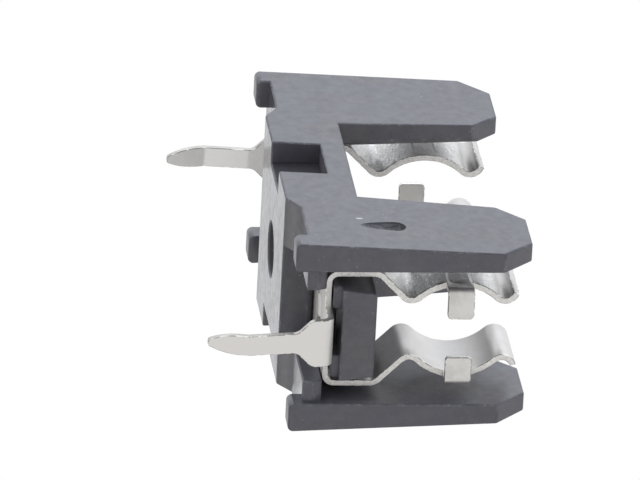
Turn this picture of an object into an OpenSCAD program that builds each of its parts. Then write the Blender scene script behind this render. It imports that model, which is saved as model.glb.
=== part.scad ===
// Open holder for a 5 x 20 mm fuse, soldered into a circuit board.
// A plastic base, moulded in one piece, carries two spring clips. Each clip is stamped
// and folded from one sheet, with its contact arms, end stops and solder pin.
// X runs along the fuse, Z points up from the board, and the origin lies on the board
// in the middle of the fixing hole.

/* [Fuse] */
// Diameter of the fuse's end caps
fuse_diameter = 5.2; // [5:0.05:5.4]
// Length of the fuse over its end caps
fuse_length = 20; // [19:0.1:21]
// Height of the fuse's axis over the board
fuse_height = 8.07; // [7.8:0.01:8.6]
// Play between the fuse and each end stop
fuse_play = 0.4; // [0.2:0.05:0.6]

/* [Clip strip] */
// Thickness of the clip sheet
sheet = 0.3; // [0.25:0.01:0.35]
// Width of the clip strip, along the fuse
clip_width = 3.7; // [3.2:0.05:4]
// Distance from the fuse's end back to the strip's outer edge
clip_inset = 0.45; // [0.3:0.05:0.6]
// Width over the clip's straight sides
clip_span = 6; // [5.8:0.05:6.4]
// Height of the clip's underside over the board
clip_seat = 1.65; // [1.5:0.05:1.8]
// Inner radius of the folds between the clip's base and sides
corner_radius = 0.3; // [0.2:0.05:0.4]

/* [Contact arms] */
// Free gap between the facing contact bumps
grip_gap = 2.65; // [2.2:0.05:3]
// Radius of the contact bumps on the fuse's side
bump_radius = 0.7; // [0.6:0.05:0.9]
// Half of the angle that an arm wraps round the fuse, in degrees
wrap_angle = 43; // [38:1:46]
// Slope of the arms below the lower bump, in degrees
lead_angle = 45; // [40:1:50]
// Inner radius of the bend into that slope
lead_radius = 0.45; // [0.3:0.05:0.6]
// How far the upper bump curls outwards past its contact line, in degrees
flare_angle = 75; // [60:1:90]

/* [End stops] */
// Width of an end stop, up the arm
stop_width = 1.27; // [1:0.01:1.5]
// Gap between the facing tips of two end stops
stop_gap = 2; // [1.6:0.1:2.6]
// Inner radius of an end stop's fold
stop_fold = 0.15; // [0.1:0.05:0.25]
// Rounding of an end stop's free corners
stop_corner = 0.2; // [0.1:0.05:0.3]

/* [Solder pins] */
// Distance from the fuse's end out to the middle of a pin
pin_reach = 1.25; // [1.15:0.05:1.5]
// Width of a pin
pin_width = 1; // [0.8:0.05:1.2]
// Length of a pin below the board's face
pin_length = 4.1; // [3.6:0.1:4.6]
// Length of the pin's bullet tip
tip_length = 1.5; // [1:0.1:1.8]
// Radius at the very tip
tip_round = 0.25; // [0.2:0.01:0.3]
// Width of the pin's root, where it leaves the clip's base
root_width = 2.4; // [2:0.05:2.6]
// Height over the board where the root starts to narrow
shoulder_top = 0.9; // [0.7:0.05:1.1]
// Height over the board where the pin reaches its own width
shoulder_low = 0.2; // [0.1:0.05:0.4]
// Rounding of the root's shoulders
shoulder_round = 0.55; // [0.3:0.05:0.6]
// Rounding of the corners between the shoulders and the pin
neck_round = 0.55; // [0.3:0.05:0.6]
// Inner radius of the fold from the base into the pin
pin_fold = 0.3; // [0.2:0.05:0.4]
// Depth below the board at which the snap-in kink stands out most
kink_depth = 2.2; // [1.9:0.1:2.4]
// Angle at which the pin leans out to the kink, in degrees
kink_out = 8; // [5:1:10]
// Angle at which the pin leans back in below the kink, in degrees
kink_back = 13; // [6:1:15]
// Middle radius of the pin's small bends
kink_radius = 0.6; // [0.4:0.1:0.8]

/* [Heel and lance] */
// Length of the heel that slides into the base, past the strip's inner edge
heel_length = 2.2; // [1.6:0.1:2.6]
// Width of that heel
heel_width = 3.8; // [3:0.1:4.2]
// Distance from the strip's inner edge to the root of the locking lance
lance_start = 0.6; // [0.4:0.1:0.9]
// Length of the lance's sprung part
lance_length = 1.3; // [1:0.1:1.5]
// Width of the lance
lance_width = 1.2; // [0.8:0.1:1.5]
// Angle at which the lance stands up, in degrees
lance_angle = 23.5; // [20:0.5:26]
// Width of the cut that frees the lance
lance_cut = 0.15; // [0.1:0.05:0.25]

/* [Base walls] */
// Room for each clip side to spring outwards
arm_room = 0.43; // [0.4:0.01:0.7]
// Thickness of a side wall at the board
wall = 1.47; // [1.3:0.01:1.7]
// Draft of the outer side faces, in degrees
side_draft = 2.6; // [1:0.1:3]
// How far the ears reach past each end of the fuse
ear_reach = 0.75; // [0.7:0.05:1]
// How far the ears reach past the inner edge of each clip, at the bridge
ear_lap = 1.35; // [1:0.05:1.6]
// Draft of the ears' inner ends, in degrees
ear_draft = 4.7; // [2:0.1:6]
// Height of the ears over the fuse's axis
ear_rise = 3.45; // [3.2:0.05:4]
// Chamfer on the ears' outer top corners
ear_chamfer = 1.45; // [0.8:0.05:1.8]
// Chamfer on the ears' inner top corners
ear_inner_chamfer = 1.3; // [0.8:0.05:1.6]
// Chamfer down the inside edges of the ears' inner ends
ear_edge = 0.3; // [0.15:0.05:0.4]
// Height of the low bridge between the ears
bridge_height = 3.55; // [3.3:0.05:3.9]

/* [Feet and middle block] */
// Length of a foot along the fuse
foot_length = 1.3; // [1:0.05:1.8]
// Height of the relief between the feet and the middle block
foot_height = 0.64; // [0.5:0.02:0.7]
// Rounding of the feet where they stand on the board
foot_round = 0.28; // [0.15:0.01:0.35]
// Distance from a clip's inner edge back to the middle block's end
block_setback = 0.75; // [0.6:0.05:0.9]
// Slope of the block's ends beside the rails, in degrees
ramp_angle = 31; // [25:1:45]
// Diameter of the fixing hole
hole_diameter = 2.7; // [2.4:0.05:3]
// Diameter of the screw head's seat
head_diameter = 5.2; // [4.6:0.1:5.4]
// Height of the screw head's seat over the board
head_seat = 1.9; // [1.6:0.1:2.2]
// Width of the latch pocket in the foot of each side wall
pocket_width = 3.6; // [3:0.1:4]
// Height of the latch pocket
pocket_height = 2.35; // [2:0.05:2.6]
// Depth of the latch pocket
pocket_depth = 1.15; // [1:0.05:1.4]

/* [Clip seats in the base] */
// Clearance between a clip's base or heel and the base moulding
clip_fit = 0.05; // [0.03:0.01:0.08]
// Clearance between a clip's sides and the core inside them
core_fit = 0.28; // [0.2:0.01:0.35]
// How far the core narrows on each side towards its top
core_taper = 0.27; // [0.15:0.01:0.4]
// Height of the core's top over the board
core_top = 4.05; // [3.9:0.05:4.3]
// Distance from the ears' ends back to the ends of the core and rails
end_setback = 0.3; // [0.2:0.05:0.4]
// Gap between the two rails under a clip
rail_gap = 4.72; // [4.4:0.02:5.2]
// Thickness of the rails at their ends
rail_height = 0.55; // [0.45:0.05:0.7]
// Length of the slope at a rail's end, which leads the clip in
rail_lead = 0.2; // [0.1:0.05:0.4]
// Bevel along the core's lower edges
core_bevel = 0.15; // [0.1:0.01:0.2]
// Height of the step under the core's end, and of the groove that lets the lance in
groove_height = 0.38; // [0.3:0.01:0.4]
// How far the core's end is stepped back at the bottom
core_step = 0.5; // [0.3:0.05:0.6]
// Height of the pocket that the lance springs up into
catch_height = 0.8; // [0.75:0.05:1]
// Height and length of the lead-in under the heel's slot
mouth = 0.28; // [0.2:0.02:0.34]

/* [Gate mark] */
// Distance of the gate mark from the ear's end
gate_from_end = 2.75; // [2.4:0.05:3]
// Height over the board at which the gate mark is deepest
gate_height = 5.02; // [4.6:0.02:5.4]
// Radius of the gate mark's scoop
gate_radius = 0.66; // [0.5:0.02:0.8]
// Depth of the gate mark there
gate_depth = 0.27; // [0.2:0.01:0.35]
// Tilt of the gate mark's scoop, in degrees
gate_tilt = 12.2; // [10:0.2:15]

/* [Hidden] */
$fn = 64;
plastic = [0.32, 0.33, 0.36];
tin = [0.78, 0.77, 0.74];
// How far a cutter runs past a face, and how far a rounding crosses one
past = 0.5;
crossing = 0.004;

// Places along the fuse
half_length = fuse_length / 2 + ear_reach;
clip_outer = fuse_length / 2 - clip_inset;
clip_inner = clip_outer - clip_width;
clip_middle = (clip_outer + clip_inner) / 2;
stop_face = fuse_length / 2 + fuse_play;
pin_plane = fuse_length / 2 + pin_reach;
core_end = half_length - end_setback;
block_half = clip_inner - block_setback;
ramp_run = foot_height / tan(ramp_angle);
ear_root = clip_inner - ear_lap;
heel_end = clip_inner - heel_length;
lance_root = clip_inner + lance_start;
gate_place = half_length - gate_from_end;

// Heights over the board
ear_height = fuse_height + ear_rise;
clip_plane = clip_seat + sheet / 2;
core_bottom = clip_seat + sheet + clip_fit;
rail_top = clip_seat - clip_fit;

// Places across the fuse
wall_inside = clip_span / 2 + arm_room;
half_width = wall_inside + wall;
core_half = clip_span / 2 - sheet - core_fit;

// Middle lines of the folded sheet
corner_bend = corner_radius + sheet / 2;
lead_bend = lead_radius + sheet / 2;
bump_bend = bump_radius - sheet / 2;
seat_bend = fuse_diameter / 2 + sheet / 2;
stop_bend = stop_fold + sheet / 2;
pin_bend = pin_fold + sheet / 2;
side_line = clip_span / 2 - sheet / 2;
bump_line = grip_gap / 2 + sheet / 2;
seat_line = bump_line + (seat_bend + bump_bend) * (1 - cos(wrap_angle));
stop_line = stop_face + sheet / 2;
// An end stop's flat root lies halfway into the hollow of the arm's edge.
stop_root = seat_line - (seat_bend - sqrt(pow(seat_bend, 2) - pow(stop_width / 2, 2))) / 2;

// Straight lengths of the folded sheet
base_run = side_line - corner_bend;
slope_run = (side_line - bump_line - (lead_bend + bump_bend) * (1 - cos(lead_angle)))
  / sin(lead_angle);
bump_height = fuse_height - (seat_bend + bump_bend) * sin(wrap_angle);
riser_run = bump_height - clip_plane - corner_bend
  - (bump_bend + lead_bend) * sin(lead_angle) - slope_run * cos(lead_angle);
stop_neck = stop_line - stop_bend - clip_outer;
stop_run = stop_root - stop_bend - stop_gap / 2;
pin_neck = pin_plane - pin_bend - clip_outer;
pin_drop = clip_plane - pin_bend;
kink_run = (kink_depth - kink_radius * (sin(kink_out) + tan((kink_out + kink_back) / 2)))
  / cos(kink_out);
tip_run = pin_length - kink_depth + past;
// The pin's shoulders lean by this angle, and their roundings start this far from the corners.
slope = atan((root_width - pin_width) / 2 / (shoulder_top - shoulder_low));
round_run = shoulder_round * tan(slope / 2);
neck_run = neck_round * tan(slope / 2);

function outer_face(z) = half_width - z * tan(side_draft);
function ear_inner_end(z) = ear_root + (z - bridge_height) * tan(ear_draft);

moulded_base();
left_contact_clip();
right_contact_clip();

// Extrudes an outline drawn in Y and Z along the fuse.
module along_x(from, to) {
  translate([from, 0, 0])
    rotate([90, 0, 90])
      linear_extrude(to - from)
        children();
}

// Extrudes an outline drawn in X and Z across the fuse.
module along_y(from, to) {
  translate([0, to, 0])
    rotate([90, 0, 0])
      linear_extrude(to - from)
        children();
}

module both_ends() {
  children();
  mirror([1, 0, 0])
    children();
}

module both_sides() {
  children();
  mirror([0, 1, 0])
    children();
}

// Bends the sheet from its heading along X, to the left where the turn is positive.
module bend(radius, turn, width) {
  translate([0, sign(turn) * radius, -width / 2])
    rotate_extrude(angle = abs(turn), start = turn > 0 ? -90 : 90 + turn)
      translate([radius - sheet / 2, 0])
        square([sheet, width]);
}

// Folds a strip of sheet, which starts along X. Each step is a straight length, then the
// middle radius and the angle of the bend that follows it.
module folded_strip(steps, width, i = 0) {
  if (i < len(steps)) {
    run = steps[i][0];
    radius = steps[i][1];
    turn = steps[i][2];
    if (run > 0)
      translate([0, -sheet / 2, -width / 2])
        cube([run, sheet, width]);
    translate([run, 0, 0]) {
      if (turn != 0)
        bend(radius, turn, width);
      translate([0, sign(turn) * radius, 0])
        rotate([0, 0, turn])
          translate([0, -sign(turn) * radius, 0])
            folded_strip(steps, width, i + 1);
    }
  }
}

// Moulded base
module moulded_base() {
  color(plastic)
    difference() {
      union() {
        both_sides()
          side_wall();
        middle_block();
        core();
        both_ends()
          both_sides()
            rail();
      }
      both_ends()
        both_sides() {
          foot_rounding();
          ear_edges();
        }
      fixing_hole();
      both_sides()
        latch_pocket();
      both_ends()
        clip_seat_cuts();
      gate_mark();
    }
}

// The outline of a side wall seen from the side: ears, bridge, middle block and feet.
module wall_outline() {
  chamfer_foot = ear_height - ear_inner_chamfer;
  half = [
    [block_half, 0],
    [block_half + ramp_run, foot_height],
    [half_length - foot_length, foot_height],
    [half_length - foot_length, 0],
    [half_length, 0],
    [half_length, ear_height - ear_chamfer],
    [half_length - ear_chamfer, ear_height],
    [ear_inner_end(chamfer_foot) + ear_inner_chamfer, ear_height],
    [ear_inner_end(chamfer_foot), chamfer_foot],
    [ear_root, bridge_height]
  ];
  polygon(concat(half, [for (i = [len(half) - 1:-1:0]) [-half[i][0], half[i][1]]]));
}

module side_wall() {
  intersection() {
    along_y(wall_inside, half_width)
      wall_outline();
    along_x(-half_length, half_length)
      polygon([
        [wall_inside, 0],
        [outer_face(0), 0],
        [outer_face(ear_height), ear_height],
        [wall_inside, ear_height]
      ]);
  }
}

// What is cut from a foot to round its two long edges on the board.
module foot_rounding() {
  outside = outer_face(foot_round) + crossing;
  along_x(half_length - foot_length - past, half_length + past) {
    difference() {
      translate([wall_inside - past, -past])
        square(past + foot_round);
      translate([wall_inside + foot_round, foot_round])
        circle(foot_round);
    }
    difference() {
      translate([outside - foot_round, -past])
        square(past + foot_round);
      translate([outside - foot_round, foot_round])
        circle(foot_round);
    }
  }
}

// What is cut from an ear to chamfer the inside edge that runs up its inner end.
module ear_edges() {
  edge = [
    [ear_edge + past, -past],
    [-past, ear_edge + past],
    [-past, -past]
  ];
  translate([ear_root, wall_inside, bridge_height])
    rotate([0, ear_draft, 0])
      translate([0, 0, ear_edge])
        linear_extrude(ear_height)
          polygon(edge);
}

// A rail along the inside of a wall, which carries the clip's edge.
module rail() {
  along_y(rail_gap / 2, wall_inside + wall / 4)
    polygon([
      [block_half - past, 0],
      [block_half, 0],
      [block_half + ramp_run, foot_height],
      [core_end, foot_height],
      [core_end, foot_height + rail_height],
      [core_end - rail_lead, rail_top],
      [block_half - past, rail_top]
    ]);
}

module middle_block() {
  depth = wall_inside + wall / 4;
  translate([-block_half, -depth, 0])
    cube([2 * block_half, 2 * depth, bridge_height]);
}

// The core that both clips are pushed onto, one at each end.
module core() {
  along_x(-core_end, core_end)
    polygon([
      [-core_half + core_bevel, core_bottom],
      [core_half - core_bevel, core_bottom],
      [core_half, core_bottom + core_bevel],
      [core_half - core_taper, core_top],
      [-core_half + core_taper, core_top],
      [-core_half, core_bottom + core_bevel]
    ]);
}

module fixing_hole() {
  translate([0, 0, -past])
    cylinder(d = hole_diameter, h = bridge_height + core_top);
  translate([0, 0, head_seat])
    cylinder(d = head_diameter, h = core_top);
}

module latch_pocket() {
  translate([-pocket_width / 2, half_width - pocket_depth, -past])
    cube([pocket_width, pocket_depth + past, pocket_height + past]);
}

// What is cut from the base for one clip: the heel's slot with its lead-in, the step under
// the core's end, and the groove and the pocket for the lance.
module clip_seat_cuts() {
  slot_half = heel_width / 2 + 2 * clip_fit;
  slot_end = heel_end - 2 * clip_fit;
  slot_floor = clip_seat - clip_fit;
  lance_reach = lance_root + lance_length + lance_cut + clip_fit;
  translate([slot_end, -slot_half, slot_floor])
    cube([block_half + past - slot_end, 2 * slot_half, core_bottom - slot_floor]);
  along_y(-slot_half, slot_half)
    polygon([
      [block_half - mouth, slot_floor],
      [block_half + mouth, slot_floor - 2 * mouth],
      [block_half + mouth, slot_floor]
    ]);
  translate([lance_root, -root_width / 2, core_bottom - clip_fit])
    cube([core_end + past - lance_root, root_width, groove_height + clip_fit]);
  translate([core_end - core_step, -core_half - past, core_bottom - clip_fit])
    cube([core_step + past, 2 * core_half + 2 * past, groove_height + clip_fit]);
  translate([lance_root, -root_width / 2, core_bottom - clip_fit])
    cube([lance_reach - lance_root, root_width, catch_height + clip_fit]);
}

// The scoop left by the gate, on the outside of one ear.
module gate_mark() {
  translate([gate_place, -(outer_face(gate_height) + gate_radius - gate_depth), gate_height]) {
    sphere(gate_radius);
    rotate([-gate_tilt, 0, 0])
      translate([0, 0, -gate_height])
        cylinder(r = gate_radius, h = gate_height);
  }
}

// Contact clips
module left_contact_clip() {
  color(tin)
    mirror([1, 0, 0])
      contact_clip();
}

module right_contact_clip() {
  color(tin)
    contact_clip();
}

module contact_clip() {
  difference() {
    union() {
      both_sides()
        clip_side();
      heel();
    }
    lance_window();
  }
  both_sides()
    end_stop();
  lance();
  solder_pin();
}

// Half of the clip's base with one side and its wave-formed contact arm.
module clip_side() {
  translate([clip_middle, 0, clip_plane])
    rotate([90, 0, 90])
      folded_strip([
        [base_run, corner_bend, 90],
        [riser_run, lead_bend, lead_angle],
        [slope_run, bump_bend, -lead_angle - wrap_angle],
        [0, seat_bend, 2 * wrap_angle],
        [0, bump_bend, -wrap_angle - flare_angle]
      ], clip_width);
}

// The heel on the inner edge of the clip's base.
module heel() {
  translate([heel_end, -heel_width / 2, clip_seat])
    cube([clip_middle - heel_end, heel_width, sheet]);
}

// An end stop folded across the fuse's end from the outer edge of an arm.
module end_stop() {
  tip = stop_gap / 2;
  translate([clip_outer, stop_root, fuse_height])
    folded_strip([
      [stop_neck, stop_bend, -90],
      [stop_run - stop_corner, 0, 0]
    ], stop_width);
  translate([stop_face, tip, fuse_height - stop_width / 2 + stop_corner])
    cube([sheet, stop_corner, stop_width - 2 * stop_corner]);
  for (side = [-1, 1])
    translate([stop_face, tip + stop_corner, fuse_height + side * (stop_width / 2 - stop_corner)])
      rotate([0, 90, 0])
        cylinder(r = stop_corner, h = sheet);
}

module lance_window() {
  half = lance_width / 2 + lance_cut;
  translate([lance_root, -half, clip_seat - past])
    cube([lance_length + lance_cut, 2 * half, sheet + 2 * past]);
}

// The locking lance, which stands up out of the clip's base behind a step in the core.
module lance() {
  translate([lance_root, 0, clip_plane])
    rotate([90, 0, 0])
      folded_strip([
        [0, pin_bend, lance_angle],
        [lance_length - pin_bend * sin(lance_angle), 0, 0]
      ], lance_width);
}

// The outline of the solder pin and its root, seen along the fuse.
module pin_outline() {
  tip_start = tip_length - pin_length;
  difference() {
    union() {
      both_halves()
        pin_half(tip_start);
      intersection() {
        tip_lens(tip_start);
        union() {
          translate([-pin_width / 2, 0.7 * tip_round - pin_length])
            square([pin_width, tip_length + shoulder_low]);
          translate([0, tip_round - pin_length])
            circle(tip_round);
        }
      }
    }
    both_halves()
      neck_cut();
  }
}

module both_halves() {
  children();
  mirror([1, 0])
    children();
}

// Half of the pin and its root, with the shoulder rounded and the neck's corner filled in.
module pin_half(tip_start) {
  polygon([
    [0, clip_seat + sheet + past],
    [0, tip_start],
    [pin_width / 2, tip_start],
    [pin_width / 2, shoulder_low - neck_run],
    [pin_width / 2 + neck_run * sin(slope), shoulder_low + neck_run * cos(slope)],
    [root_width / 2 - round_run * sin(slope), shoulder_top - round_run * cos(slope)],
    [root_width / 2, shoulder_top + round_run],
    [root_width / 2, clip_seat + sheet + past]
  ]);
  translate([root_width / 2 - shoulder_round + crossing, shoulder_top + round_run])
    circle(shoulder_round);
}

// What is cut from the neck's filled corner to round it.
module neck_cut() {
  translate([pin_width / 2 + neck_round - crossing, shoulder_low - neck_run])
    circle(neck_round);
}

// The lens between the two arcs that narrow the pin, down to where its tip is rounded.
module tip_lens(start) {
  drop = pin_width / 2 - tip_round * sin(45);
  run = tip_length - tip_round * (1 - cos(45));
  radius = (run * run + drop * drop) / (2 * drop);
  intersection() {
    translate([pin_width / 2 - radius, start])
      circle(radius);
    translate([radius - pin_width / 2, start])
      circle(radius);
  }
}

module solder_pin() {
  intersection() {
    translate([clip_outer, 0, clip_plane])
      rotate([90, 0, 0])
        folded_strip([
          [pin_neck, pin_bend, -90],
          [pin_drop, kink_radius, kink_out],
          [kink_run, kink_radius, -kink_out - kink_back],
          [tip_run, 0, 0]
        ], root_width);
    along_x(clip_outer, pin_plane + kink_depth)
      pin_outline();
  }
}
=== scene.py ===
"""Looks of the board fuse holder: a moulded base with two tinned spring clips."""

import math

import bmesh
import bpy
from mathutils import Matrix, Vector


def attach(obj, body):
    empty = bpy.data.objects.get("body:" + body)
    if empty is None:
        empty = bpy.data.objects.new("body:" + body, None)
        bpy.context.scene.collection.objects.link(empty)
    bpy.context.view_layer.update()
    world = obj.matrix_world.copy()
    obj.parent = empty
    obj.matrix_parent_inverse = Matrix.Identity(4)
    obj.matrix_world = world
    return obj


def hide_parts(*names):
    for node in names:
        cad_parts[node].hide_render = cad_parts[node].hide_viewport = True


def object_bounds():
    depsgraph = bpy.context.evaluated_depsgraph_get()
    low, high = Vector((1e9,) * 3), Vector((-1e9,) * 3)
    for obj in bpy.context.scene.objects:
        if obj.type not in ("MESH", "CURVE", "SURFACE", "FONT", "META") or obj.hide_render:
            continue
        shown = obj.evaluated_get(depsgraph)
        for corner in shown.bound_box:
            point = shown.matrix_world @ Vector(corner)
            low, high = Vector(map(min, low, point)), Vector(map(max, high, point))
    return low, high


MM = 0.001

# The photograph's camera: its axes in the part's frame, and what it looks at
VIEW_RIGHT = Vector((0.0991, -0.0477, 0.9939))
VIEW_DOWN = Vector((0.3973, 0.9177, 0.0044))
VIEW_BACK = Vector((0.9123, -0.3944, -0.1099))
VIEW_AIM = Vector((0.05, -0.545, 2.386)) * MM
VIEW_DISTANCE = 625 * MM
VIEW_LENS = 724.6
VIEW_SENSOR = 36

# Edge rounding that the solids leave out, on edges that turn by more than the given angle
PLASTIC_EDGE = 0.09 * MM
PLASTIC_TURN = math.radians(25)
SHEET_EDGE = 0.03 * MM
SHEET_TURN = math.radians(35)
KNIFE_EDGE = math.radians(135)
EDGE_STEPS = 2

# The gap within which points are one, and the bends within which faces are flat or smooth
ONE_POINT = 0.0008 * MM
FLAT_BEND = math.radians(0.5)
SMOOTH_BEND = math.radians(38)

# Places on the base, in millimetres
BORE_RADIUS = 1.35
BLOCK_HALF = 5.1
WALL_INSIDE = 3.43
WALL_OUTSIDE = 4.9
WALL_DRAFT = math.tan(math.radians(2.6))
WALL_UNDERSIDE = 0.64
POCKET_HALF = 1.8
POCKET_FLOOR = 3.75
POCKET_TOP = 2.35
SEAT_CORNER_X = 1.4
SEAT_CORNER_Y = 2.19
SEAT_CORNER_LOW = 3.4
GATE_X = 8.0
GATE_RADIUS = 0.66
GATE_LOW = 2.5
GATE_HIGH = 5.8
SCUFF_X = 7.23
SCUFF_Z = 3.36

# Places on the clips, in millimetres
STRIP_OUTER = 9.55
FUSE_HEIGHT = 8.07
ARM_ROOT = 2.2
LIP_LOW = 9.5
STOP_END = 1.0
STOP_ROOT = (2.05, 2.52)
STOP_HEIGHTS = (7.1, 9.05)

# Material slots after the first, which is moulded plastic on the base and tin plate on a clip
BASE_EDGE = 1
BASE_SCAR = 2
BASE_UNDERSIDE = 3
BASE_RECESS = 4
CLIP_CUT = 1
CLIP_CORNER = 2

# The studio: an even warm fill and soft cool patches in these directions, and the share of the
# white background in what glossy surfaces show
FILL_TINT = (1, 0.985, 0.985, 1)
PATCH_TINT = (0.905, 0.99, 1.125, 1)
STUDIO_FILL = 0.75
STUDIO_PATCHES = (
    ((-1, -1, 0), 1.85),
    ((-1, -1, 1), 0.9),
    ((-1, 0, 0), 0.75),
    ((-1, 0, 1), 0.55),
    ((0, -1, 0), 0.4),
    ((0, -1, 1), 0.3),
    ((-1, -1, -1), 0.3),
)
PATCH_SHARPNESS = 10.0
WHITE_IN_GLOSS = 0.5

# The floor under the part, and the share of its own light in what it shows
FLOOR_GAP = 0.02 * MM
FLOOR_RADIUS = 3
FLOOR_CORNERS = 64
FLOOR_GLOW = 0.5

# Colours
WHITE = (1, 1, 1, 1)
FLOOR_GREY = (0.9, 0.9, 0.9, 1)
PLASTIC_COOL = (0.075, 0.077, 0.096, 1)
PLASTIC_WARM = (0.095, 0.091, 0.101, 1)
PLASTIC_DEEP = (0.045, 0.044, 0.056, 1)
PLASTIC_SPECK = (0.34, 0.34, 0.35, 1)
# Painted shade in the screw bore and the side pockets
PAINTED_SHADE_DARK = (0.022, 0.022, 0.027, 1)
# Pale edge colour: partly wear and partly painted highlight
EDGE_WEAR_AND_HIGHLIGHT = (0.126, 0.129, 0.144, 1)
SCUFF_PALE = (0.52, 0.52, 0.53, 1)
# Dark of the gate scar's grain, and its painted shade along the upper rim
SCAR_DARK_GRAIN_AND_SHADE = (0.034, 0.034, 0.040, 1)
SCAR_GREY = (0.100, 0.101, 0.114, 1)
SCAR_PALE = (0.22, 0.22, 0.235, 1)
# Brightest tin: flecks, painted light on sides that face the middle, and painted highlights on
# corners
TIN_FLECK_AND_PAINTED_LIGHT = (0.945, 0.95, 0.93, 1)
# Lighter tin, on the pins and as painted light on the arms' outsides, which lie in shade
TIN_FRESH_AND_LIT = (0.81, 0.795, 0.77, 1)
TIN_LIGHT = (0.72, 0.71, 0.685, 1)
TIN_DULL = (0.61, 0.60, 0.575, 1)
# Darker tin inside the arms and on the lips: wear, and painted shade inside
TIN_RUBBED_WITH_SHADE = (0.59, 0.57, 0.545, 1)
TIN_PIT = (0.52, 0.51, 0.49, 1)
# Painted shadow along the sheet's corners
CORNER_PAINTED_SHADOW = (0.27, 0.265, 0.25, 1)
CUT_LIGHT = (0.80, 0.79, 0.765, 1)
CUT_DULL = (0.62, 0.61, 0.585, 1)
CUT_WORN = (0.38, 0.355, 0.315, 1)


class Value:
    """A node's output, with the operators that shader maths uses."""

    def __init__(self, finish, socket):
        self.finish = finish
        self.socket = socket

    def math(self, operation, *others):
        return self.finish.node("ShaderNodeMath", {"operation": operation}, [self, *others])

    def __add__(self, other):
        return self.math("ADD", other)

    def __radd__(self, other):
        return self.math("ADD", other)

    def __sub__(self, other):
        return self.math("SUBTRACT", other)

    def __rsub__(self, other):
        return self.finish.node("ShaderNodeMath", {"operation": "SUBTRACT"}, [other, self])

    def __mul__(self, other):
        return self.math("MULTIPLY", other)

    def __rmul__(self, other):
        return self.math("MULTIPLY", other)

    def __truediv__(self, other):
        return self.math("DIVIDE", other)

    def __abs__(self):
        return self.math("ABSOLUTE")

    def sign(self):
        return self.math("SIGN")

    def root(self):
        return self.math("SQRT")

    def greater(self, other):
        """The greater of the two values."""
        return self.math("MAXIMUM", other)

    def smoothly(self, start, end):
        """Goes from 0 at the start to 1 at the end, which may be the smaller number."""
        settings = {"interpolation_type": "SMOOTHSTEP"}
        inputs = {"Value": self, "From Min": start, "From Max": end}
        return self.finish.node("ShaderNodeMapRange", settings, inputs)


class Finish:
    """A node tree, emptied and ready for new nodes."""

    def __init__(self, owner):
        owner.use_nodes = True
        self.tree = owner.node_tree
        self.tree.nodes.clear()

    def node(self, kind, settings=None, inputs=None, output=0):
        """Adds a node with its settings, then the values or links of its sockets."""
        made = self.tree.nodes.new(kind)
        for name, value in (settings or {}).items():
            setattr(made, name, value)
        pairs = inputs.items() if isinstance(inputs, dict) else enumerate(inputs or [])
        for key, value in pairs:
            if isinstance(value, Value):
                self.tree.links.new(value.socket, made.inputs[key])
            else:
                made.inputs[key].default_value = value
        return Value(self, made.outputs[output]) if made.outputs else None

    def place(self):
        """The point's place on the part, in millimetres."""
        metres = self.node("ShaderNodeTexCoord", output="Object")
        inputs = {"Vector": metres, "Scale": 1 / MM}
        return self.node("ShaderNodeVectorMath", {"operation": "SCALE"}, inputs)

    def axes(self, vector):
        split = self.node("ShaderNodeSeparateXYZ", inputs=[vector]).socket.node
        return [Value(self, socket) for socket in split.outputs]

    def squeezed(self, vector, shares):
        """Squeezes the place along its axes, which draws noise out along them."""
        return self.node("ShaderNodeMapping", inputs={"Vector": vector, "Scale": shares})

    def noise(self, size, vector, detail=2.0, roughness=0.5):
        """Noise with features about that many millimetres across."""
        inputs = {"Vector": vector, "Scale": 1 / size, "Detail": detail, "Roughness": roughness}
        return self.node("ShaderNodeTexNoise", inputs=inputs)

    def mix(self, share, first, second):
        """Mixes two colours, which are sockets 6 and 7 of the node, with the mix as output 2."""
        inputs = {0: share, 6: first, 7: second}
        return self.node("ShaderNodeMix", {"data_type": "RGBA"}, inputs, 2)

    def bump(self, height, depth, strength=1.0, normal=None):
        """Bump from a height of 0 to 1 that stands for that many millimetres."""
        inputs = {"Strength": strength, "Distance": depth * MM, "Height": height}
        if normal:
            inputs["Normal"] = normal
        return self.node("ShaderNodeBump", inputs=inputs)

    def surface(self, **inputs):
        """Ends a material in one shader, with the sockets' names in small letters."""
        sockets = {}
        for name, value in inputs.items():
            sockets[name.replace("_", " ").title().replace("Ior", "IOR")] = value
        shader = self.node("ShaderNodeBsdfPrincipled", inputs=sockets)
        self.node("ShaderNodeOutputMaterial", inputs={"Surface": shader})


def new_material(name):
    material = bpy.data.materials.new(name)
    return material, Finish(material)


def scuff(f, place):
    """The small pale scuff beside the gate mark, on the -Y wall's outside."""
    x, y, z = f.axes(place)
    ragged = f.noise(0.12, place) * 0.12
    across = (abs(x - SCUFF_X) + ragged).smoothly(0.16, 0.08)
    along = (abs(z - SCUFF_Z) + ragged).smoothly(0.28, 0.16)
    outside = y.smoothly(0.5 - WALL_OUTSIDE, 0.4 - WALL_OUTSIDE)
    return across * along * outside


def painted_pocket_shade(x, y, z):
    """Where shade is painted in the side pockets: their floors, and less of their ceilings."""
    floor = abs(abs(y) - POCKET_FLOOR).smoothly(0.1, 0.05)
    sunk = WALL_OUTSIDE - z * WALL_DRAFT - abs(y)
    ceiling = z.smoothly(POCKET_TOP - 0.05, POCKET_TOP - 0.01) * sunk.smoothly(0.05, 0.2) * 0.6
    between_ends = abs(x).smoothly(POCKET_HALF + 0.05, POCKET_HALF)
    past_block = abs(y).smoothly(POCKET_FLOOR - 0.15, POCKET_FLOOR - 0.05)
    below_top = z.smoothly(POCKET_TOP + 0.05, POCKET_TOP + 0.01)
    return floor.greater(ceiling) * between_ends * past_block * below_top


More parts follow.
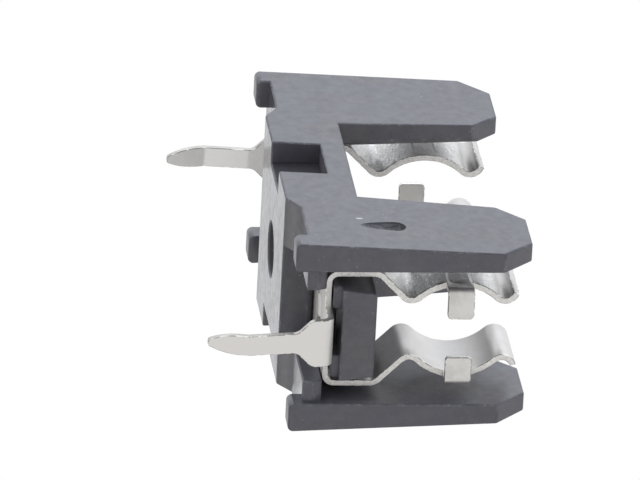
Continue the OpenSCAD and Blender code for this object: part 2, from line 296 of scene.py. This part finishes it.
def moulded_plastic(name, dullness, gloss=0.7, strip=0.0):
    """Charcoal plastic: cloudy and mottled, with specks and nicks, and painted shade in the bore
    and pockets.

    The strip is how much duller the underside of the wall at +X and -Y is than the rest.
    """
    material, f = new_material(name)
    place = f.place()
    x, y, z = f.axes(place)
    cloud = f.noise(2.4, place, 3.0, 0.6)
    mottle = f.noise(0.5, place, 4.0, 0.6)
    grain = f.noise(0.09, place, 2.0, 0.6)
    sparse = f.noise(1.7, place).smoothly(0.45, 0.7)
    speck = f.noise(0.16, place, 1.0).smoothly(0.71, 0.76) * sparse
    nick = f.noise(0.24, place, 1.0).smoothly(0.3, 0.25) * (1 - sparse)
    # Where shade is painted: the wall of the screw bore, and the side pockets
    bore = (x * x + y * y).root().smoothly(BORE_RADIUS + 0.05, BORE_RADIUS + 0.02)
    painted_shade = bore.greater(painted_pocket_shade(x, y, z))
    past_block = x.smoothly(BLOCK_HALF + 0.4, BLOCK_HALF + 0.7)
    under_wall = past_block * y.smoothly(-WALL_INSIDE - 0.07, -WALL_INSIDE - 0.27)

    clouded = f.mix(cloud.smoothly(0.3, 0.7), PLASTIC_COOL, PLASTIC_WARM)
    dark = (mottle.smoothly(0.25, 0.75) * 0.45).greater(nick * 0.8)
    mottled = f.mix(dark, clouded, PLASTIC_DEEP)
    # Painted shade in the screw bore and the side pockets
    with_painted_shade = f.mix(painted_shade * 0.7, mottled, PAINTED_SHADE_DARK)
    specked = f.mix(speck * 0.45, with_painted_shade, PLASTIC_SPECK)
    colour = f.mix(scuff(f, place), specked, SCUFF_PALE)
    uneven = (mottle - 0.5) * 0.25 + (cloud - 0.5) * 0.2
    roughness = dullness + uneven + painted_shade * 0.3 + under_wall * strip
    coarse = f.bump(mottle, 0.012, dullness)
    fine = f.bump(grain, 0.006, dullness, coarse)
    f.surface(base_color=colour, roughness=roughness, specular_ior_level=gloss, normal=fine)
    return material


def worn_and_highlit_plastic_edge():
    """The base's edges: paler in patches, partly worn and partly painted highlight, with small
    chips.
    """
    material, f = new_material("worn_and_highlit_plastic_edge")
    place = f.place()
    patch = f.noise(0.7, place, 3.0, 0.6).smoothly(0.42, 0.68)
    chip = f.noise(0.14, place).smoothly(0.5, 0.66)
    # Paler patches along the edges: partly wear and partly painted highlight
    tone = f.mix(patch * 0.7, PLASTIC_COOL, EDGE_WEAR_AND_HIGHLIGHT)
    colour = f.mix(patch * chip * 0.35, tone, PLASTIC_SPECK)
    rough = f.bump(f.noise(0.1, place, 3.0), 0.012)
    f.surface(base_color=colour, roughness=0.45, normal=rough)
    return material


def gate_scar():
    """The torn scoop: a grainy middle, with painted shade along its upper rim and a dark end."""
    material, f = new_material("torn_gate_scar")
    place = f.place()
    x, y, z = f.axes(place)
    tear = f.noise(0.13, f.squeezed(place, (1, 1, 0.3)), 4.0, 0.7)
    grain = f.noise(0.09, place).smoothly(0.5, 0.66)
    sunk = y + WALL_OUTSIDE - z * WALL_DRAFT
    rim = sunk.smoothly(0.1, 0.03)
    upper = x.smoothly(GATE_X, GATE_X - 0.3)
    end = z.smoothly(GATE_HIGH - 0.6, GATE_HIGH - 0.35)
    middle = abs(x - GATE_X).smoothly(0.4, 0.05)

    torn = f.mix(tear.smoothly(0.48, 0.62) * 0.75, SCAR_GREY, SCAR_DARK_GRAIN_AND_SHADE)
    grainy = f.mix(grain * middle * 0.5, torn, SCAR_PALE)
    # Painted shade along the scoop's sunken upper rim, and a dark end
    colour = f.mix((rim * upper).greater(end) * 0.85, grainy, SCAR_DARK_GRAIN_AND_SHADE)
    bump = f.bump(tear, 0.05)
    f.surface(base_color=colour, roughness=0.8, specular_ior_level=0.2, normal=bump)
    return material


def tin_plate():
    """Satin tin: like new and painted lighter on the arms' outsides, which lie in shade, with
    pits and flecks that are partly painted glints; darker inside and on the lips, from wear and
    painted shade.

    The pins and the end stops have painted light on the side that faces the middle of the part.
    """
    material, f = new_material("satin_tin_plate")
    place = f.place()
    x, y, z = f.axes(place)
    side = f.axes(f.node("ShaderNodeTexCoord", output="Normal"))
    outward = side[1] * y.sign()
    endward = side[0] * x.sign()
    pin = z.smoothly(ARM_ROOT, ARM_ROOT - 1)
    stop = abs(x).smoothly(STRIP_OUTER - 0.25, STRIP_OUTER - 0.05)
    lip = z.smoothly(LIP_LOW, LIP_LOW + 0.7)
    arm = z.smoothly(ARM_ROOT, ARM_ROOT + 1) * (1 - stop)
    outside = arm * outward.smoothly(0.1, 0.5) * (1 - lip)
    rubbed_with_shade = arm * outward.smoothly(-0.1, -0.5).greater(lip)
    painted_light_inward = endward.smoothly(-0.2, -0.6) * pin.greater(stop)
    cloud = f.noise(0.9, place, 4.0, 0.6)
    pit = f.noise(0.17, place).smoothly(0.6, 0.75)
    off_hollow = abs(z - FUSE_HEIGHT).smoothly(0.7, 1.5)
    # Bright flecks on the arms' outsides: partly the tin's speckle, partly painted glints
    fleck_and_glint = f.noise(0.12, place).smoothly(0.48, 0.6) * (0.25 + off_hollow * 0.75)

    worn = f.mix(cloud.smoothly(0.35, 0.7), TIN_LIGHT, TIN_DULL)
    # Darker tin inside and on the lips, as wear and painted shade; lighter tin on the pins, and
    # as painted light on the arms' outsides, which lie in shade
    arms = f.mix(rubbed_with_shade * (0.7 + cloud * 0.3), worn, TIN_RUBBED_WITH_SHADE)
    fresh_and_lit = f.mix(pin.greater(outside) * (0.6 + cloud * 0.5), arms, TIN_FRESH_AND_LIT)
    # Painted light on the sides of the pins and end stops that face the middle
    bright = f.mix(painted_light_inward * (0.6 + cloud * 0.4), fresh_and_lit, TIN_FLECK_AND_PAINTED_LIGHT)
    flecked_and_glinting = f.mix(outside * fleck_and_glint, bright, TIN_FLECK_AND_PAINTED_LIGHT)
    colour = f.mix(outside * pit * 0.6, flecked_and_glinting, TIN_PIT)
    roughness = 0.36 + cloud * 0.14 + pit * 0.12 + pin * 0.04 - outside * fleck_and_glint * 0.08
    uneven = 0.3 + outside * 0.7
    drawn = f.bump(f.noise(0.1, f.squeezed(place, (0.12, 1, 1)), 3.0, 0.6), 0.003, 0.6)
    peel = f.bump(f.noise(0.3, place, 3.0, 0.6) * uneven, 0.03, 0.7, drawn)
    normal = f.bump(pit * uneven - fleck_and_glint * outside * 0.8, 0.02, 0.8, peel)
    f.surface(base_color=colour, metallic=0.85 - pin * 0.4, roughness=roughness, normal=normal)
    return material


def sheared_edge():
    """The sheet's cut edges, which are worn on the pins."""
    material, f = new_material("sheared_sheet_edge")
    place = f.place()
    height = f.axes(place)[2]
    torn = f.noise(0.1, place, 3.0, 0.7)
    patch = f.noise(0.8, place)
    pin = height.smoothly(ARM_ROOT - 1, ARM_ROOT - 1.8)
    sheared = f.mix(torn.smoothly(0.35, 0.65), CUT_LIGHT, CUT_DULL)
    colour = f.mix(pin * (0.4 + patch * 0.6), sheared, CUT_WORN)
    roughness = 0.34 + patch * 0.2
    bump = f.bump(torn, 0.007, 0.8)
    f.surface(base_color=colour, metallic=1.0, roughness=roughness, normal=bump)
    return material


def painted_corner_light():
    """The sheet's corners: a thin line of painted shadow with painted highlight spots."""
    material, f = new_material("painted_shadow_and_highlight_corner")
    corner_streaks = f.noise(0.3, f.place(), 3.0, 0.6)
    # Painted shadow along the corners, broken by painted highlights
    colour = f.mix(corner_streaks.smoothly(0.48, 0.62), CORNER_PAINTED_SHADOW, TIN_FLECK_AND_PAINTED_LIGHT)
    f.surface(base_color=colour, metallic=1.0, roughness=0.4, normal=f.bump(corner_streaks, 0.006))
    return material


def only_selected(piece):
    bpy.ops.object.select_all(action="DESELECT")
    piece.select_set(True)
    bpy.context.view_layer.objects.active = piece


def mark_edges(mesh, least_turn, left_sharp):
    """Marks the outer edges that turn enough, but no knife edge and none to be left sharp."""
    work = bmesh.new()
    work.from_mesh(mesh)
    weight = work.edges.layers.float.new("bevel_weight_edge")
    for edge in work.edges:
        middle = (edge.verts[0].co + edge.verts[1].co) / (2 * MM)
        turns = edge.is_convex and least_turn < edge.calc_face_angle() < KNIFE_EDGE
        if turns and not left_sharp(middle):
            edge[weight] = 1
    work.to_mesh(mesh)
    work.free()


def finished_copy(node, name, width, least_turn, left_sharp, edge_slot):
    """A copy of a CAD node with merged triangles, and with rounding set up for its edges."""
    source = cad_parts[node]
    only_selected(source)
    bpy.ops.object.duplicate(linked=False)
    piece = bpy.context.active_object
    piece.name = name
    piece.data.name = name
    bpy.ops.object.mode_set(mode="EDIT")
    bpy.ops.mesh.select_all(action="SELECT")
    bpy.ops.mesh.remove_doubles(threshold=ONE_POINT)
    bpy.ops.mesh.dissolve_limited(angle_limit=FLAT_BEND)
    bpy.ops.object.mode_set(mode="OBJECT")
    mark_edges(piece.data, least_turn, left_sharp)
    rounding = piece.modifiers.new("rounding", "BEVEL")
    rounding.width = width
    rounding.segments = EDGE_STEPS
    rounding.limit_method = "WEIGHT"
    rounding.use_clamp_overlap = False
    rounding.material = edge_slot
    piece.data.materials.clear()
    return piece


def apply_rounding(piece):
    only_selected(piece)
    bpy.ops.object.modifier_apply(modifier="rounding")
    bpy.ops.object.shade_smooth_by_angle(angle=SMOOTH_BEND)
    evened = piece.modifiers.new("evened", "WEIGHTED_NORMAL")
    evened.keep_sharp = True
    bpy.ops.object.modifier_apply(modifier="evened")


def give_slot(piece, slot, wanted):
    """Moves the faces that the test picks to a material slot."""
    for face in piece.data.polygons:
        if wanted(face.center / MM, face.normal):
            face.material_index = slot


def at_gate_or_seat(place):
    """Edges left sharp: the gate mark's rim and the thin corners by the screw head's seat."""
    across_gate = abs(place.x - GATE_X) < GATE_RADIUS + 0.04 and place.y < -4
    gate = across_gate and GATE_LOW < place.z < GATE_HIGH
    by_corner_x = abs(abs(place.x) - SEAT_CORNER_X) < 0.25
    by_corner_y = abs(abs(place.y) - SEAT_CORNER_Y) < 0.2
    seat = by_corner_x and by_corner_y and place.z > SEAT_CORNER_LOW
    return gate or seat


def at_stop_root(place):
    """Edges left sharp: those on the arm's end where an end stop leaves it."""
    at_end = abs(abs(place.x) - STRIP_OUTER) < 0.02
    across = STOP_ROOT[0] < abs(place.y) < STOP_ROOT[1]
    return at_end and across and STOP_HEIGHTS[0] < place.z < STOP_HEIGHTS[1]


def in_gate_scar(centre, normal):
    sunk = centre.y + WALL_OUTSIDE - centre.z * WALL_DRAFT
    by_gate = abs(centre.x - GATE_X) < 1 and 1 < centre.z < 6
    return by_gate and 0.004 < sunk < 0.6


def on_underside(centre, normal):
    block = centre.z < 0.1 and abs(centre.x) < BLOCK_HALF + 0.5
    wall = abs(centre.z - WALL_UNDERSIDE) < 0.1
    return normal.z < -0.99 and (block or wall)


def in_recess(centre, normal):
    along = abs(centre.x) < POCKET_HALF - 0.05
    past_floor = abs(centre.y) - POCKET_FLOOR
    in_pocket = along and past_floor > -0.02 and centre.z < POCKET_TOP + 0.05
    ceiling = normal.z < -0.9 and centre.z > POCKET_TOP - 0.15
    return in_pocket and (past_floor < 0.02 or ceiling)


def on_cut_edge(centre, normal):
    if abs(centre.x) < STRIP_OUTER + 0.02:
        return abs(normal.x) > 0.8
    if centre.z < ARM_ROOT:
        return abs(normal.y) > 0.5
    return abs(normal.z) > 0.6 or abs(centre.y) < STOP_END + 0.02


def make_base():
    piece = finished_copy(
        "moulded_base", "fuse_holder_base", PLASTIC_EDGE, PLASTIC_TURN, at_gate_or_seat, BASE_EDGE
    )
    finishes = [
        moulded_plastic("charcoal_moulded_plastic", dullness=0.36),
        worn_and_highlit_plastic_edge(),
        gate_scar(),
        moulded_plastic("smooth_underside_plastic", dullness=0.2, strip=0.5),
        moulded_plastic("dull_recess_plastic", dullness=0.6, gloss=0.4),
    ]
    for finish in finishes:
        piece.data.materials.append(finish)
    give_slot(piece, BASE_SCAR, in_gate_scar)
    give_slot(piece, BASE_UNDERSIDE, on_underside)
    give_slot(piece, BASE_RECESS, in_recess)
    apply_rounding(piece)
    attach(piece, "root")
    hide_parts("moulded_base")


def make_clip(node, name, finishes):
    piece = finished_copy(node, name, SHEET_EDGE, SHEET_TURN, at_stop_root, CLIP_CORNER)
    for finish in finishes:
        piece.data.materials.append(finish)
    give_slot(piece, CLIP_CUT, on_cut_edge)
    apply_rounding(piece)
    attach(piece, "root")
    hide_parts(node)


def make_camera():
    data = bpy.data.cameras.new("photo_camera")
    data.sensor_width = VIEW_SENSOR
    data.lens = VIEW_LENS
    camera = bpy.data.objects.new("photo_camera", data)
    bpy.context.scene.collection.objects.link(camera)
    turn = Matrix((VIEW_RIGHT, -VIEW_DOWN, VIEW_BACK)).transposed().to_4x4()
    camera.matrix_world = Matrix.Translation(VIEW_AIM + VIEW_BACK * VIEW_DISTANCE) @ turn
    bpy.context.scene.camera = camera


def make_light():
    """The studio's light. The camera sees plain white instead, and glossy surfaces do in part."""
    world = bpy.data.worlds.new("white_studio")
    bpy.context.scene.world = world
    f = Finish(world)
    ray = f.node("ShaderNodeTexCoord", output="Generated")
    patches = 0
    for towards, strength in STUDIO_PATCHES:
        inputs = [ray, Vector(towards).normalized()]
        facing = f.node("ShaderNodeVectorMath", {"operation": "DOT_PRODUCT"}, inputs, "Value")
        patches = patches + facing.greater(0.0).math("POWER", PATCH_SHARPNESS) * strength
    light = patches + STUDIO_FILL
    tint = f.mix(patches / light, FILL_TINT, PATCH_TINT)
    studio = f.node("ShaderNodeBackground", inputs={"Color": tint, "Strength": light})
    white = f.node("ShaderNodeBackground", inputs={"Color": WHITE, "Strength": 1.0})
    rays = ["Is Camera Ray", "Is Glossy Ray", "Is Transmission Ray"]
    camera, glossy, clear = (f.node("ShaderNodeLightPath", output=kind) for kind in rays)
    seen = camera.greater(glossy.greater(clear) * WHITE_IN_GLOSS)
    shown = f.node("ShaderNodeMixShader", inputs=[seen, studio, white])
    f.node("ShaderNodeOutputWorld", inputs={"Surface": shown})


def make_floor():
    """A pale floor that is clear from below and casts nothing onto the part."""
    bpy.ops.object.select_all(action="DESELECT")
    bpy.ops.mesh.primitive_circle_add(
        vertices=FLOOR_CORNERS,
        radius=FLOOR_RADIUS,
        fill_type="NGON",
        location=(0, 0, frame_low.z - FLOOR_GAP),
    )
    floor = bpy.context.active_object
    floor.name = "pale_floor"
    floor.visible_shadow = False
    floor.visible_diffuse = False
    floor.visible_glossy = False
    material, f = new_material("pale_floor")
    pale = f.node("ShaderNodeBsdfDiffuse", inputs={"Color": FLOOR_GREY})
    glow = f.node("ShaderNodeEmission", inputs={"Color": WHITE, "Strength": 1.0})
    lit = f.node("ShaderNodeMixShader", inputs=[FLOOR_GLOW, pale, glow])
    clear = f.node("ShaderNodeBsdfTransparent")
    behind = f.node("ShaderNodeNewGeometry", output="Backfacing")
    both = f.node("ShaderNodeMixShader", inputs=[behind, lit, clear])
    f.node("ShaderNodeOutputMaterial", inputs={"Surface": both})
    floor.data.materials.append(material)


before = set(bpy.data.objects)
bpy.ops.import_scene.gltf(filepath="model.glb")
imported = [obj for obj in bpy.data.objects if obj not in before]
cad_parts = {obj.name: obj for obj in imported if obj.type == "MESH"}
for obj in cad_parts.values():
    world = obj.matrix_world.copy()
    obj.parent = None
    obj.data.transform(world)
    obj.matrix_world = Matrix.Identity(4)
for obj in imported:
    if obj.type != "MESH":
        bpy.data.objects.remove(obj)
frame_low, frame_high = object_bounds()
bpy.context.scene.view_settings.view_transform = "Standard"
make_camera()
make_base()
clip_finishes = [tin_plate(), sheared_edge(), painted_corner_light()]
make_clip("left_contact_clip", "left_spring_clip", clip_finishes)
make_clip("right_contact_clip", "right_spring_clip", clip_finishes)
make_light()
make_floor()
